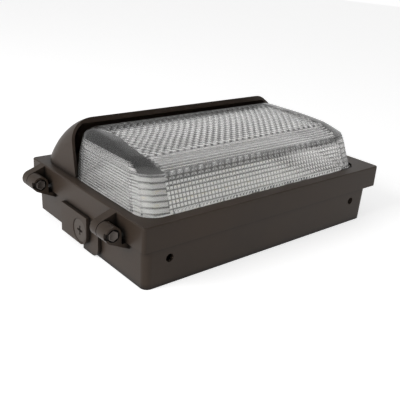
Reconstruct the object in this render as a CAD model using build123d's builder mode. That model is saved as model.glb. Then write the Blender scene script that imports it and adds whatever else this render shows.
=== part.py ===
from build123d import *
from math import cos, radians, sin, sqrt, tan
import os

os.makedirs("parts", exist_ok=True)

# A wall pack light lying on its back: +Z points out of the wall, +Y is up once it is mounted, and
# the door swings on two hinge bolts along its left side. The origin is the middle of the back face.
# All sizes are in millimetres.

# ---- back housing ----
housing_width = 342.0
housing_height = 228.6
housing_depth = 42.6
housing_wall = 3.5
housing_corner = 9.0
housing_draft = 1.5
back_bevel = 7.8

# ---- door frame ----
door_gap = 0.6
door_left_overhang = 4.0
door_right_overhang = 15.0
door_near_overhang = 2.4
door_far_overhang = 4.8
door_depth = 26.2
door_plate = 3.5
door_skirt = 3.5
door_corner = 4.0
edge_round = 1.0
rail_lap = 0.8

# ---- visor, cast in one piece with the door frame ----
visor_side_margin = 6.6
visor_wall = 3.5
visor_ledge = 1.2
visor_back_radius = 101.0
visor_back_lean = 21.0
visor_cheek_lean = 9.0
visor_shoulder = 30.0
visor_reach = 86.3
visor_front_run = 25.5
visor_rim_level = 52.1
visor_rim_depth = 6.0
visor_root = 0.5

# ---- prismatic glass ----
glass_side_margin = 7.8
glass_near_margin = 14.5
glass_far_margin = 67.5
glass_wall = 5.0
glass_height = 51.6
glass_corner = 28.0
glass_crown_corner = 7.54
glass_corner_facets = 3
glass_side_lean = 7.0
glass_side_radius = 26.0
glass_front_height = 38.1
glass_front_depth = 15.5
glass_band_height = 46.6
glass_band_depth = 45.5
glass_crown_height = 50.6
glass_crown_depth = 87.5
glass_peak_height = 51.3
glass_peak_depth = 108.0
glass_flange = 3.2
glass_flange_corner = 24.0
glass_flange_thickness = 4.0
window_clearance = 0.8
window_near_corner = 22.0
glass_gasket_thickness = 1.2

# ---- hinge ----
hinge_offset = 14.0
hinge_drop = 15.7
hinge_radius = 9.0
hinge_near_margin = 44.6
hinge_far_margin = 29.5
ear_length = 17.0
lug_length = 11.1
hinge_washer_thickness = 0.8
hinge_play = 0.3
hinge_bolt_diameter = 6.0
hinge_bolt_clearance = 0.3
bolt_head_flats = 10.0
bolt_head_height = 4.0
ear_recess_depth = 3.5
ear_slot_width = 7.0
ear_recess_clearance = 1.0
ear_slope = 25.0
hinge_nut_height = 5.0

# ---- latch screws ----
latch_offset = 7.0
latch_end_margin = 64.3
latch_pillar_radius = 6.5
latch_ear_radius = 7.5
latch_ear_height = 16.0
latch_screw_diameter = 5.0
latch_screw_clearance = 0.3
latch_pilot_diameter = 3.8
latch_engagement = 6.6
latch_head_diameter = 10.0
latch_head_height = 3.4
latch_travel = 9.0
retainer_radius = 4.1
retainer_thickness = 1.0
retainer_lift = 1.3
retainer_clearance = 0.4

# ---- conduit entries ----
entry_diameter = 26.7
entry_height = 22.9
entry_y = -1.7
entry_fit = 0.15
entry_mouth = 0.7
hub_projection = 8.4
hub_rim = 1.95
hub_far_reach = 40.2
hub_depth = 12.0
hub_base_projection = 3.4
hub_base_reach = 31.0
hub_base_height = 0.6
hub_base_corner = 12.0
plug_length = 9.0
plug_slot_width = 2.2
plug_slot_length = 10.5
plug_slot_depth = 2.6
top_hub_projection = 3.0

# ---- wall fixing and drainage ----
wall_hole_diameter = 6.5
wall_hole_side_margin = 21.0
wall_hole_end_margin = 26.3
box_hole_spacing = 82.6
box_hole_diameter = 5.0
back_entry_diameter = 21.3
back_boss_wall = 3.5
back_boss_height = 10.0
weep_diameter = 6.0
weep_height = 29.4
weep_side_margin = 29.5

# ---- light engine ----
plate_side_margin = 46.0
plate_window_margin = 13.25
plate_thickness = 3.0
plate_drop = 4.6
post_radius = 5.0
post_inset_x = 15.0
post_inset_y = 5.0
post_pilot = 3.3
board_end_margin = 10.0
board_side_margin = 20.0
board_thickness = 1.6
led_size = 5.0
led_thickness = 0.9
led_columns = 12
led_rows = 3
led_end_margin = 18.75
led_side_margin = 18.0
reflector_gap = 5.0
reflector_rise = 14.5
reflector_end_gap = 9.7
reflector_side_gap = 11.05
reflector_sheet = 1.0
reflector_lip = 3.0
lead_hole = 8.0
connector_size = 12.0
connector_height = 6.0

# ---- driver and wiring ----
driver_length = 160.0
driver_breadth = 42.0
driver_height = 26.0
driver_far_margin = 36.3
driver_tab = 10.0
driver_tab_thickness = 1.5
surge_length = 50.0
surge_breadth = 30.0
surge_height = 20.0
surge_gap = 14.0
terminal_length = 28.0
terminal_breadth = 34.0
terminal_height = 18.0
terminal_gap = 14.0
terminal_poles = 3
lead_diameter = 3.0
lead_sides = 8
lead_bend = 12.0
ground_side_margin = 29.0
ground_y = 40.0

# ---- small fasteners ----
clip_screw_diameter = 3.2
clip_screw_head = 6.4
clip_screw_head_height = 2.2
clip_boss_radius = 3.0
clip_width = 8.0
clip_thickness = 1.2
clip_overlap = 2.6
tray_screw_diameter = 3.2
tray_screw_head = 7.0
tray_screw_head_height = 2.4
head_sides = 16
pilot_play = 0.05
gasket_width = 2.4
gasket_height = 4.0
gasket_side_play = 0.1
seat_gap = 0.3

# ---- places worked out from the sizes above ----
half_width = housing_width / 2
half_height = housing_height / 2
door_left = -half_width - door_left_overhang
door_right = half_width + door_right_overhang
door_near = -half_height - door_near_overhang
door_far = half_height + door_far_overhang
door_width = door_right - door_left
door_height = door_far - door_near
door_centre = ((door_left + door_right) / 2, (door_near + door_far) / 2)
door_bottom = housing_depth + door_gap
door_top = door_bottom + door_depth
plate_bottom = door_top - door_plate
visor_half_width = half_width - visor_side_margin
glass_half_width = half_width - glass_side_margin
glass_near = door_near + glass_near_margin
glass_far = door_far - glass_far_margin
hinge_x = door_left - hinge_offset
hinge_z = door_top - hinge_drop
hinge_seams = [-half_height + hinge_near_margin, half_height - hinge_far_margin]
latch_x = half_width + latch_offset
latch_ys = [-half_height + latch_end_margin, half_height - latch_end_margin]
hub_face = half_width + hub_projection
hub_radius = entry_diameter / 2 + hub_rim
wall_hole_spacing_x = housing_width - 2 * wall_hole_side_margin
wall_hole_spacing_y = housing_height - 2 * wall_hole_end_margin
weep_spacing = housing_width - 2 * weep_side_margin
rail_inner_x = half_width - housing_wall - rail_lap
rail_inner_y = half_height - housing_wall - rail_lap
plate_level = housing_depth - plate_drop
plate_top = plate_level + plate_thickness
board_top = plate_top + board_thickness
engine_y = (glass_near + glass_far) / 2
plate_length = housing_width - 2 * plate_side_margin
plate_breadth = glass_far - glass_near - 2 * plate_window_margin
post_spacing_x = plate_length - 2 * post_inset_x
post_spacing_y = plate_breadth - 2 * post_inset_y
board_length = plate_length - 2 * board_end_margin
board_breadth = plate_breadth - 2 * board_side_margin
led_pitch_x = (board_length - 2 * led_end_margin) / (led_columns - 1)
led_pitch_y = (board_breadth - 2 * led_side_margin) / (led_rows - 1)
driver_y = half_height - driver_far_margin
wiring_row = driver_length + surge_gap + surge_length + terminal_gap + terminal_length
driver_x = (driver_length - wiring_row) / 2
ground_x = half_width - ground_side_margin


def save(part, name):
    """Labels one finished piece and writes it as its own file."""
    part.label = name
    export_step(part, f"parts/{name}.step")


def level(z, half_x, near_y, far_y, corner):
    """The glass's outline at one height: a rectangle whose corners are each cut by flat facets."""
    points = []
    for quarter in range(4):
        across = 1 if quarter in (0, 3) else -1
        centre_x = across * (half_x - corner)
        centre_y = far_y - corner if quarter < 2 else near_y + corner
        for step in range(glass_corner_facets + 1):
            turn = radians(90 * (quarter + step / glass_corner_facets))
            points.append((centre_x + corner * cos(turn), centre_y + corner * sin(turn)))
    with BuildSketch(Plane.XY.offset(z)) as outline:
        with BuildLine():
            Polyline(*points, close=True)
        make_face()
    return outline.sketch.face()


# ---------------------------------------------------------------- visor form
visor_arc_y = door_far - visor_ledge - visor_back_radius * cos(radians(visor_back_lean))
visor_arc_z = door_top - visor_back_radius * sin(radians(visor_back_lean))
visor_top = visor_arc_z + visor_back_radius
visor_foot_y = door_far - visor_reach
visor_rim_y = visor_foot_y + visor_front_run
visor_rim_z = door_top + visor_rim_level


def visor_block(inset, bottom):
    """The visor's form as a solid: one long arc for its back and roof, between leaning cheeks."""
    half = visor_half_width - inset
    lean = tan(radians(visor_cheek_lean))
    with BuildPart() as block:
        with BuildSketch(Plane.YZ.offset(-half)):
            with Locations((visor_arc_y, visor_arc_z)):
                Circle(visor_back_radius - inset)
            with Locations((visor_arc_y, bottom)):
                Rectangle(
                    visor_back_radius,
                    visor_back_radius,
                    align=(Align.MIN, Align.MIN),
                    mode=Mode.INTERSECT,
                )
        extrude(amount=2 * half)
        with BuildSketch(Plane.XZ.offset(-door_far)):
            with BuildLine():
                low = half + (door_top - bottom) * lean
                high = half - (visor_top - door_top) * lean
                Polyline(
                    (-low, bottom), (low, bottom), (high, visor_top), (-high, visor_top), close=True
                )
            make_face()
        extrude(amount=door_far - visor_arc_y, mode=Mode.INTERSECT)
        fillet(block.edges().filter_by(GeomType.LINE, reverse=True), visor_shoulder - inset)
    return block.part


# ---------------------------------------------------------------- glass form
def glass_depth(height, inset):
    """How far back the near side lies at a height: leaning wall, prism band, level crown."""
    slope = glass_front_depth / glass_front_height
    steps = (
        (0.0, 0.0),
        (glass_front_height, glass_front_depth),
        (glass_band_height, glass_band_depth),
        (glass_crown_height, glass_crown_depth),
        (glass_peak_height, glass_peak_depth),
    )
    depth = 0.0
    for (low, start), (high, end) in zip(steps, steps[1:]):
        share = min(max((height + inset - low) / (high - low), 0.0), 1.0)
        depth += share * (end - start)
    return max(depth, max(height, 0.0) * slope + inset)


def glass_levels(inset, bottom):
    """Outlines of the glass from its base to its crown, for one skin of its wall."""
    shoulder = glass_height - glass_side_radius
    middle = (glass_front_height + glass_band_height) / 2
    crown = (glass_band_height + glass_crown_height) / 2
    upper = (
        (shoulder + glass_front_height) / 2,
        glass_front_height,
        middle,
        glass_band_height,
        crown,
        glass_crown_height,
        glass_peak_height,
    )
    arc = glass_side_radius - inset
    faces = []
    for height in [bottom, 0.0, shoulder] + [step - inset for step in upper]:
        drop = max(height - shoulder, 0.0)
        side = max(min(height, shoulder), 0.0) * tan(radians(glass_side_lean))
        side += inset + arc - sqrt(arc**2 - drop**2)
        ease = max(height + inset - glass_front_height, 0.0)
        ease *= (glass_corner - glass_crown_corner) / (glass_peak_height - glass_front_height)
        faces.append(
            level(
                door_top + height,
                glass_half_width - side,
                glass_near + glass_depth(height, inset),
                glass_far - side,
                glass_corner - inset - ease,
            )
        )
    return faces


def window_outline():
    """The opening in the door's plate: sharper corners at its near side than the glass has."""
    with Locations((0, (window_near + window_far) / 2)):
        Rectangle(2 * window_half, window_far - window_near)
    corners = vertices().group_by(Axis.Y)
    fillet(corners[0], window_near_corner)
    fillet(vertices().group_by(Axis.Y)[-1], glass_corner + window_clearance)


glass_base = plate_bottom - glass_gasket_thickness - glass_flange_thickness
flange_top = glass_base + glass_flange_thickness
window_half = glass_half_width + window_clearance
window_near = glass_near - window_clearance
window_far = glass_far + window_clearance
clip_corner_x = glass_half_width - glass_corner
clip_corners = [
    (sx * clip_corner_x, y, sx, sy)
    for sx in (-1, 1)
    for y, sy in ((glass_near + glass_corner, -1), (glass_far - glass_corner, 1))
]
flange_reach = glass_corner + glass_flange - glass_flange_corner * (1 - 1 / sqrt(2))
clip_reach = flange_reach + (seat_gap + clip_boss_radius) / sqrt(2)
clip_spots = [(x + sx * clip_reach, y + sy * clip_reach) for x, y, sx, sy in clip_corners]

# ================================================================ back housing
top_hub_face = half_height + top_hub_projection
entry_mouths = {
    "left": Plane((-hub_face, entry_y, entry_height), x_dir=(0, 1, 0), z_dir=(-1, 0, 0)),
    "right": Plane((hub_face, entry_y, entry_height), x_dir=(0, 1, 0), z_dir=(1, 0, 0)),
    "top": Plane((0, top_hub_face, entry_height), x_dir=(1, 0, 0), z_dir=(0, 1, 0)),
}

with BuildPart() as housing_hollow:
    with BuildSketch(Plane.XY.offset(housing_depth)):
        RectangleRounded(
            housing_width - 2 * housing_wall,
            housing_height - 2 * housing_wall,
            housing_corner,
        )
    extrude(amount=housing_wall - housing_depth, taper=housing_draft)
    chamfer(faces().sort_by(Axis.Z)[0].edges(), back_bevel + (sqrt(2) - 2) * housing_wall)

with BuildPart() as back_housing:
    with BuildSketch(Plane.XY.offset(housing_depth)):
        RectangleRounded(housing_width, housing_height, housing_corner)
    extrude(amount=-housing_depth, taper=housing_draft)
    # conduit hubs: a broad low base with a raised pad on it, alike on the left and on the right
    hub_bottom = entry_height - hub_radius
    for side in (-1, 1):
        with BuildSketch(Plane.YZ.offset(side * (half_width - housing_wall))):
            with Locations((entry_y + hub_far_reach, housing_depth)):
                Rectangle(
                    hub_far_reach + hub_base_reach,
                    housing_depth - hub_base_height,
                    align=(Align.MAX, Align.MAX),
                )
            base_corner = vertices().group_by(Axis.Y)[0].sort_by(Axis.X)[0]
            fillet(base_corner, hub_base_corner)
        extrude(amount=side * (housing_wall + hub_base_projection))
        with BuildSketch(Plane.YZ.offset(side * (half_width - housing_wall))):
            with Locations((entry_y + hub_far_reach, housing_depth)):
                Rectangle(
                    hub_far_reach + hub_radius,
                    housing_depth - hub_bottom,
                    align=(Align.MAX, Align.MAX),
                )
            pad_corner = vertices().group_by(Axis.Y)[0].sort_by(Axis.X)[0]
            fillet(pad_corner, hub_radius * 0.96)
        extrude(amount=side * (housing_wall + hub_projection))
    # bevel round the upper part of the back, where the installer runs the sealant
    bevel_out = half_width + 2 * hub_projection
    with BuildSketch(Plane.XZ.offset(-half_height)):
        for side in (-1, 1):
            with BuildLine():
                Polyline(
                    (side * (half_width - back_bevel), 0),
                    (side * half_width, back_bevel),
                    (side * bevel_out, back_bevel),
                    (side * bevel_out, -back_bevel),
                    (side * (half_width - back_bevel), -back_bevel),
                    close=True,
                )
            make_face()
    extrude(amount=half_height - entry_y, mode=Mode.SUBTRACT)
    with BuildSketch(Plane.YZ.offset(-half_width)):
        with BuildLine():
            Polyline(
                (half_height - back_bevel, 0), (half_height, back_bevel), (half_height, 0), close=True
            )
        make_face()
    extrude(amount=housing_width, mode=Mode.SUBTRACT)
    # hollow inside, its floor edge sloped so the wall keeps its thickness behind the bevel
    add(housing_hollow.part, mode=Mode.SUBTRACT)
    # top hub, with its inner boss
    with BuildSketch(Plane.XZ.offset(-top_hub_face)):
        with Locations((0, entry_height)):
            Circle(hub_radius)
        with Locations((0, housing_depth)):
            Rectangle(
                2 * hub_radius, housing_depth - entry_height, align=(Align.CENTER, Align.MAX)
            )
    extrude(amount=hub_depth)
    # inner bosses
    with BuildSketch(Plane.XY.offset(housing_wall)):
        Circle(back_entry_diameter / 2 + back_boss_wall)
    extrude(amount=back_boss_height)
    with BuildSketch(Plane.XY.offset(housing_wall)):
        with Locations((0, engine_y)), GridLocations(post_spacing_x, post_spacing_y, 2, 2):
            Circle(post_radius)
    extrude(amount=plate_level - housing_wall)
    with BuildSketch(Plane.XY.offset(housing_wall)):
        with Locations((ground_x, ground_y)):
            Circle(post_radius)
    extrude(amount=housing_wall)
    # hinge ears on the left
    slope = radians(ear_slope)
    ear_foot_x = -half_width + housing_wall / 2
    ear_low = (hinge_x - hinge_radius * sin(slope), hinge_z - hinge_radius * cos(slope))
    ear_foot_z = ear_low[1] - (ear_foot_x - ear_low[0]) * tan(slope)
    for seam in hinge_seams:
        with BuildSketch(Plane.XZ.offset(-seam)):
            with Locations((hinge_x, hinge_z)):
                Circle(hinge_radius)
            with BuildLine():
                Polyline(
                    (hinge_x, hinge_z),
                    (hinge_x + hinge_radius, hinge_z),
                    (hinge_x + hinge_radius, housing_depth),
                    (ear_foot_x, housing_depth),
                    (ear_foot_x, ear_foot_z),
                    ear_low,
                    close=True,
                )
            make_face()
        extrude(amount=ear_length)
    # latch ears on the right
    with BuildSketch(Plane.XY.offset(housing_depth)):
        for y in latch_ys:
            with Locations((latch_x, y)):
                Circle(latch_ear_radius)
            with Locations((latch_x, y)):
                Rectangle(
                    latch_offset + housing_wall / 2,
                    2 * latch_ear_radius,
                    align=(Align.MAX, Align.CENTER),
                )
    extrude(amount=-latch_ear_height)
    # holes
    for seam in hinge_seams:
        with Locations(Plane((hinge_x, seam - ear_length, hinge_z), z_dir=(0, -1, 0))):
            CounterBoreHole(
                hinge_bolt_diameter / 2 + pilot_play,
                bolt_head_flats / sqrt(3) + ear_recess_clearance,
                ear_recess_depth,
                depth=ear_length,
            )
        with BuildSketch(Plane.XZ.offset(ear_length - seam)):
            with Locations((hinge_x, hinge_z)):
                Rectangle(2 * hinge_radius, ear_slot_width, align=(Align.MAX, Align.CENTER))
        extrude(amount=-ear_recess_depth, mode=Mode.SUBTRACT)
    with Locations(*[(latch_x, y, housing_depth) for y in latch_ys]):
        Hole(latch_screw_diameter / 2, depth=latch_ear_height - housing_wall)
    for mouth in entry_mouths.values():
        with Locations(mouth):
            Hole(entry_diameter / 2, depth=hub_depth + housing_wall)
        with BuildSketch(mouth):
            Circle(entry_diameter / 2 + entry_mouth)
        extrude(amount=-entry_mouth, taper=45, mode=Mode.SUBTRACT)
    with Locations((0, 0, housing_wall + back_boss_height)):
        Hole(back_entry_diameter / 2)
    with Locations((0, 0, housing_wall)):
        with GridLocations(wall_hole_spacing_x, wall_hole_spacing_y, 2, 2):
            Hole(wall_hole_diameter / 2, depth=2 * housing_wall)
        with GridLocations(box_hole_spacing, 1, 2, 1):
            Hole(box_hole_diameter / 2, depth=2 * housing_wall)
    with Locations((0, engine_y, plate_level)), GridLocations(post_spacing_x, post_spacing_y, 2, 2):
        Hole(post_pilot / 2, depth=plate_level - 2 * housing_wall)
    with Locations((ground_x, ground_y, 2 * housing_wall)):
        Hole(post_pilot / 2, depth=housing_wall + edge_round)
    with Locations(
        *[
            Plane((side * weep_spacing / 2, -half_height, weep_height), z_dir=(0, -1, 0))
            for side in (-1, 1)
        ]
    ):
        Hole(weep_diameter / 2, depth=3 * housing_wall)
save(back_housing.part, "back_housing")

# ================================================================ door frame with visor
groove_mid = housing_wall / 2
groove_half = gasket_width / 2 + gasket_side_play
with BuildPart() as visor_hollow:
    add(visor_block(visor_wall, door_top))
    with BuildSketch(Plane.YZ.offset(-visor_half_width)):
        with Locations((visor_rim_y, visor_rim_z)):
            Rectangle(visor_rim_depth, visor_top, align=(Align.MIN, Align.MIN))
    extrude(amount=2 * visor_half_width, mode=Mode.SUBTRACT)

with BuildPart() as visor:
    add(visor_block(0, door_top - visor_root))
    add(visor_hollow.part, mode=Mode.SUBTRACT)
    with BuildSketch(Plane.YZ.offset(-visor_half_width - edge_round)):
        with BuildLine():
            Polyline(
                (visor_arc_y - edge_round, door_top),
                (visor_foot_y, door_top),
                (visor_rim_y, visor_rim_z),
                (visor_rim_y, visor_top + edge_round),
                (visor_arc_y - edge_round, visor_top + edge_round),
                close=True,
            )
        make_face()
    extrude(amount=2 * (visor_half_width + edge_round), mode=Mode.SUBTRACT)

with BuildPart() as door_frame:
    with BuildSketch(Plane.XY.offset(door_bottom)):
        with Locations(door_centre):
            RectangleRounded(door_width, door_height, door_corner)
    extrude(amount=door_depth)
    chamfer(faces().sort_by(Axis.Z)[-1].edges(), edge_round)
    # visor: hollow under its roof, with a deeper rim along the roof's front edge
    add(visor.part)
    # pocket inside the gasket rail, window, and the trough beside the latch pillars
    with BuildSketch(Plane.XY.offset(door_bottom)):
        Rectangle(2 * rail_inner_x, 2 * rail_inner_y)
        fillet(vertices(), housing_corner - housing_wall)
    extrude(amount=door_depth - door_plate, mode=Mode.SUBTRACT)
    with BuildSketch(Plane.XY.offset(plate_bottom)):
        window_outline()
    extrude(amount=door_plate, mode=Mode.SUBTRACT)
    trough_left = half_width + edge_round
    trough_right = door_right - door_skirt
    with BuildSketch(Plane.XY.offset(door_bottom)):
        with Locations(((trough_left + trough_right) / 2, door_centre[1])):
            Rectangle(trough_right - trough_left, door_height - 2 * door_skirt)
        for y in latch_ys:
            with Locations((latch_x, y)):
                Circle(latch_pillar_radius, mode=Mode.SUBTRACT)
    extrude(amount=door_depth - door_plate, mode=Mode.SUBTRACT)
    # gasket groove over the housing's rim
    with BuildSketch(Plane.XY.offset(door_bottom)):
        RectangleRounded(
            housing_width - 2 * (groove_mid - groove_half),
            housing_height - 2 * (groove_mid - groove_half),
            housing_corner - groove_mid + groove_half,
        )
        RectangleRounded(
            housing_width - 2 * (groove_mid + groove_half),
            housing_height - 2 * (groove_mid + groove_half),
            housing_corner - groove_mid - groove_half,
            mode=Mode.SUBTRACT,
        )
    extrude(amount=gasket_height, mode=Mode.SUBTRACT)
    # bosses for the glass clips
    with BuildSketch(Plane.XY.offset(glass_base)):
        with Locations(*clip_spots):
            Circle(clip_boss_radius)
    extrude(amount=plate_bottom - glass_base)
    with Locations(*[Plane((x, y, glass_base), z_dir=(0, 0, -1)) for x, y in clip_spots]):
        Hole(clip_screw_diameter / 2 + pilot_play, depth=glass_gasket_thickness + door_plate)
    # hinge lugs: a web that slopes from the top edge out to the knuckle
    for seam in hinge_seams:
        lug_start = seam + hinge_washer_thickness + hinge_play
        with BuildSketch(Plane.XZ.offset(-lug_start)):
            with Locations((hinge_x, hinge_z)):
                Circle(hinge_radius)
            with Locations((door_left + door_skirt, door_bottom + edge_round)):
                Rectangle(
                    door_skirt,
                    door_depth - 2 * edge_round,
                    align=(Align.MAX, Align.MIN),
                )
            make_hull()
        extrude(amount=-lug_length)
        with Locations(Plane((hinge_x, lug_start, hinge_z), z_dir=(0, -1, 0))):
            Hole(hinge_bolt_diameter / 2 + hinge_bolt_clearance, depth=lug_length)
    # latch screw holes with a chamber for the retaining ring
    for y in latch_ys:
        with Locations(Plane((latch_x, y, door_bottom), z_dir=(0, 0, -1))):
            CounterBoreHole(
                latch_screw_diameter / 2 + latch_screw_clearance,
                retainer_radius + retainer_clearance,
                retainer_lift + retainer_thickness + latch_travel + retainer_clearance,
                depth=door_depth,
            )
save(door_frame.part, "door_frame")

# ================================================================ glass and its fixing
with BuildPart() as glass_refractor:
    loft(glass_levels(0, flange_top - door_top), ruled=True)
    with BuildSketch(Plane.XY.offset(glass_base)):
        with Locations((0, (glass_near + glass_far) / 2)):
            RectangleRounded(
                2 * (glass_half_width + glass_flange),
                glass_far - glass_near + 2 * glass_flange,
                glass_flange_corner,
            )
    extrude(amount=glass_flange_thickness)
    loft(glass_levels(glass_wall, glass_base - door_top), ruled=True, mode=Mode.SUBTRACT)
save(glass_refractor.part, "glass_refractor")

with BuildPart() as glass_gasket:
    with BuildSketch(Plane.XY.offset(flange_top)):
        window_outline()
    gasket_window = extrude(amount=glass_gasket_thickness, mode=Mode.PRIVATE)
    with BuildSketch(Plane.XY.offset(flange_top)):
        with Locations((0, (glass_near + glass_far) / 2)):
            RectangleRounded(
                2 * (glass_half_width + glass_flange),
                glass_far - glass_near + 2 * glass_flange,
                glass_flange_corner,
            )
    extrude(amount=glass_gasket_thickness)
    add(gasket_window, mode=Mode.SUBTRACT)
save(glass_gasket.part, "glass_gasket")

clip_outer = clip_reach + (clip_boss_radius - edge_round) / sqrt(2)
clip_inner = flange_reach - clip_overlap / sqrt(2)
with BuildPart() as glass_clips:
    with BuildSketch(Plane.XY.offset(glass_base)):
        for x, y, sx, sy in clip_corners:
            middle = (clip_outer + clip_inner) / 2
            with Locations((x + sx * middle, y + sy * middle)):
                Rectangle((clip_outer - clip_inner) * sqrt(2), clip_width, rotation=45 * sx * sy)
    extrude(amount=-clip_thickness)
    with Locations(*[(x, y, glass_base) for x, y in clip_spots]):
        Hole(clip_screw_diameter / 2 + pilot_play, depth=clip_thickness)
save(glass_clips.part, "glass_clips")

with BuildPart() as glass_clip_screws:
    with BuildSketch(Plane.XY.offset(glass_base - clip_thickness)):
        with Locations(*clip_spots):
            RegularPolygon(clip_screw_head / 2, head_sides)
    extrude(amount=-clip_screw_head_height)
    with BuildSketch(Plane.XY.offset(glass_base - clip_thickness)):
        with Locations(*clip_spots):
            RegularPolygon(clip_screw_diameter / 2, lead_sides)
    extrude(amount=clip_thickness + door_plate)
save(glass_clip_screws.part, "glass_clip_screws")

with BuildPart() as door_gasket:
    with BuildSketch(Plane.XY.offset(housing_depth + seat_gap)):
        RectangleRounded(
            housing_width - 2 * groove_mid + gasket_width,
            housing_height - 2 * groove_mid + gasket_width,
            housing_corner - groove_mid + gasket_width / 2,
        )
        RectangleRounded(
            housing_width - 2 * groove_mid - gasket_width,
            housing_height - 2 * groove_mid - gasket_width,
            housing_corner - groove_mid - gasket_width / 2,
            mode=Mode.SUBTRACT,
        )
    extrude(amount=door_gap - seat_gap + gasket_height)
save(door_gasket.part, "door_gasket")

# ================================================================ hinge hardware
lug_end_reach = hinge_washer_thickness + hinge_play + lug_length
head_seat = ear_length - ear_recess_depth
with BuildPart() as hinge_bolts:
    for seam in hinge_seams:
        with BuildSketch(Plane.XZ.offset(head_seat - seam)):
            with Locations((hinge_x, hinge_z)):
                RegularPolygon(bolt_head_flats / 2, 6, major_radius=False, rotation=30)
        extrude(amount=bolt_head_height)
        with BuildSketch(Plane.XZ.offset(head_seat - seam)):
            with Locations((hinge_x, hinge_z)):
                Circle(hinge_bolt_diameter / 2)
        extrude(amount=-(head_seat + lug_end_reach + hinge_play + hinge_nut_height + edge_round))
save(hinge_bolts.part, "hinge_bolts")

with BuildPart() as hinge_washers:
    for seam in hinge_seams:
        with BuildSketch(Plane.XZ.offset(-seam)):
            with Locations((hinge_x, hinge_z)):
                Circle(hinge_radius - edge_round)
                Circle(hinge_bolt_diameter / 2 + pilot_play, mode=Mode.SUBTRACT)
        extrude(amount=-hinge_washer_thickness)
save(hinge_washers.part, "hinge_washers")

with BuildPart() as hinge_nuts:
    for seam in hinge_seams:
        with BuildSketch(Plane.XZ.offset(-seam - lug_end_reach - hinge_play)):
            with Locations((hinge_x, hinge_z)):
                RegularPolygon(bolt_head_flats / 2, 6, major_radius=False, rotation=30)
                Circle(hinge_bolt_diameter / 2, mode=Mode.SUBTRACT)
        extrude(amount=-hinge_nut_height)
save(hinge_nuts.part, "hinge_nuts")

# ================================================================ latch screws
retainer_bottom = door_bottom + retainer_lift
for name, y in zip(("lower", "upper"), latch_ys):
    with BuildPart() as latch_screw:
        with BuildSketch(Plane.XY.offset(door_top)):
            with Locations((latch_x, y)):
                Circle(latch_head_diameter / 2)
        extrude(amount=latch_head_height)
        chamfer(faces().sort_by(Axis.Z)[-1].edges(), edge_round)
        with BuildSketch(Plane.XY.offset(door_top + latch_head_height)):
            with Locations((latch_x, y)):
                Rectangle(plug_slot_width / 2, latch_head_diameter * 0.6)
                Rectangle(latch_head_diameter * 0.6, plug_slot_width / 2)
        extrude(amount=-latch_head_height / 2, mode=Mode.SUBTRACT)
        with BuildSketch(Plane.XY.offset(door_top)):
            with Locations((latch_x, y)):
                Circle(latch_screw_diameter / 2)
        extrude(amount=-door_depth)
        with BuildSketch(Plane.XY.offset(door_bottom)):
            with Locations((latch_x, y)):
                Circle(latch_pilot_diameter / 2)
        extrude(amount=-latch_engagement - door_gap)
    save(latch_screw.part, f"latch_screw_{name}")
    with BuildPart() as latch_retainer:
        with BuildSketch(Plane.XY.offset(retainer_bottom)):
            with Locations((latch_x, y)):
                RegularPolygon(retainer_radius, head_sides)
                RegularPolygon(
                    latch_screw_diameter / 2, head_sides, major_radius=False, mode=Mode.SUBTRACT
                )
        extrude(amount=retainer_thickness)
    save(latch_retainer.part, f"latch_retainer_{name}")

# ================================================================ conduit plugs
for name, mouth in entry_mouths.items():
    with BuildPart() as conduit_plug:
        with BuildSketch(mouth.offset(-entry_mouth)):
            Circle(entry_diameter / 2 - entry_fit)
        extrude(amount=-plug_length)
        with BuildSketch(mouth.offset(-entry_mouth)):
            Rectangle(plug_slot_length, plug_slot_width)
            Rectangle(plug_slot_width, plug_slot_length)
        extrude(amount=-plug_slot_depth, mode=Mode.SUBTRACT)
    save(conduit_plug.part, f"conduit_plug_{name}")

# ================================================================ light engine
lead_spot = (board_length / 2 - 2 * lead_hole, engine_y + board_breadth / 2 - lead_hole)
with BuildPart() as led_plate:
    with BuildSketch(Plane.XY.offset(plate_level)):
        with Locations((0, engine_y)):
            RectangleRounded(plate_length, plate_breadth, post_radius)
        with Locations(lead_spot):
            Circle(lead_hole / 2, mode=Mode.SUBTRACT)
        with Locations((0, engine_y)), GridLocations(post_spacing_x, post_spacing_y, 2, 2):
            Circle(tray_screw_diameter / 2 + hinge_play, mode=Mode.SUBTRACT)
    extrude(amount=plate_thickness)
save(led_plate.part, "led_plate")

with BuildPart() as led_plate_screws:
    with BuildSketch(Plane.XY.offset(plate_top)):
        with Locations((0, engine_y)), GridLocations(post_spacing_x, post_spacing_y, 2, 2):
            RegularPolygon(tray_screw_head / 2, head_sides)
    extrude(amount=tray_screw_head_height)
    with BuildSketch(Plane.XY.offset(plate_top)):
        with Locations((0, engine_y)), GridLocations(post_spacing_x, post_spacing_y, 2, 2):
            RegularPolygon(tray_screw_diameter / 2, lead_sides)
    extrude(amount=-plate_thickness - 2 * post_radius)
save(led_plate_screws.part, "led_plate_screws")

with BuildPart() as led_board:
    with BuildSketch(Plane.XY.offset(plate_top)):
        with Locations((0, engine_y)):
            RectangleRounded(board_length, board_breadth, edge_round)
        with Locations(lead_spot):
            Circle(lead_hole / 2, mode=Mode.SUBTRACT)
    extrude(amount=board_thickness)
save(led_board.part, "led_board")

with BuildPart() as led_connector:
    with BuildSketch(Plane.XY.offset(board_top)):
        with Locations(lead_spot):
            Rectangle(connector_size, connector_size)
    extrude(amount=connector_height)
save(led_connector.part, "led_connector")

with BuildPart() as led_array:
    with BuildSketch(Plane.XY.offset(board_top)):
        with Locations((0, engine_y)):
            with GridLocations(led_pitch_x, led_pitch_y, led_columns, led_rows):
                Rectangle(led_size, led_size)
    extrude(amount=led_thickness)
save(led_array.part, "led_array")

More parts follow.
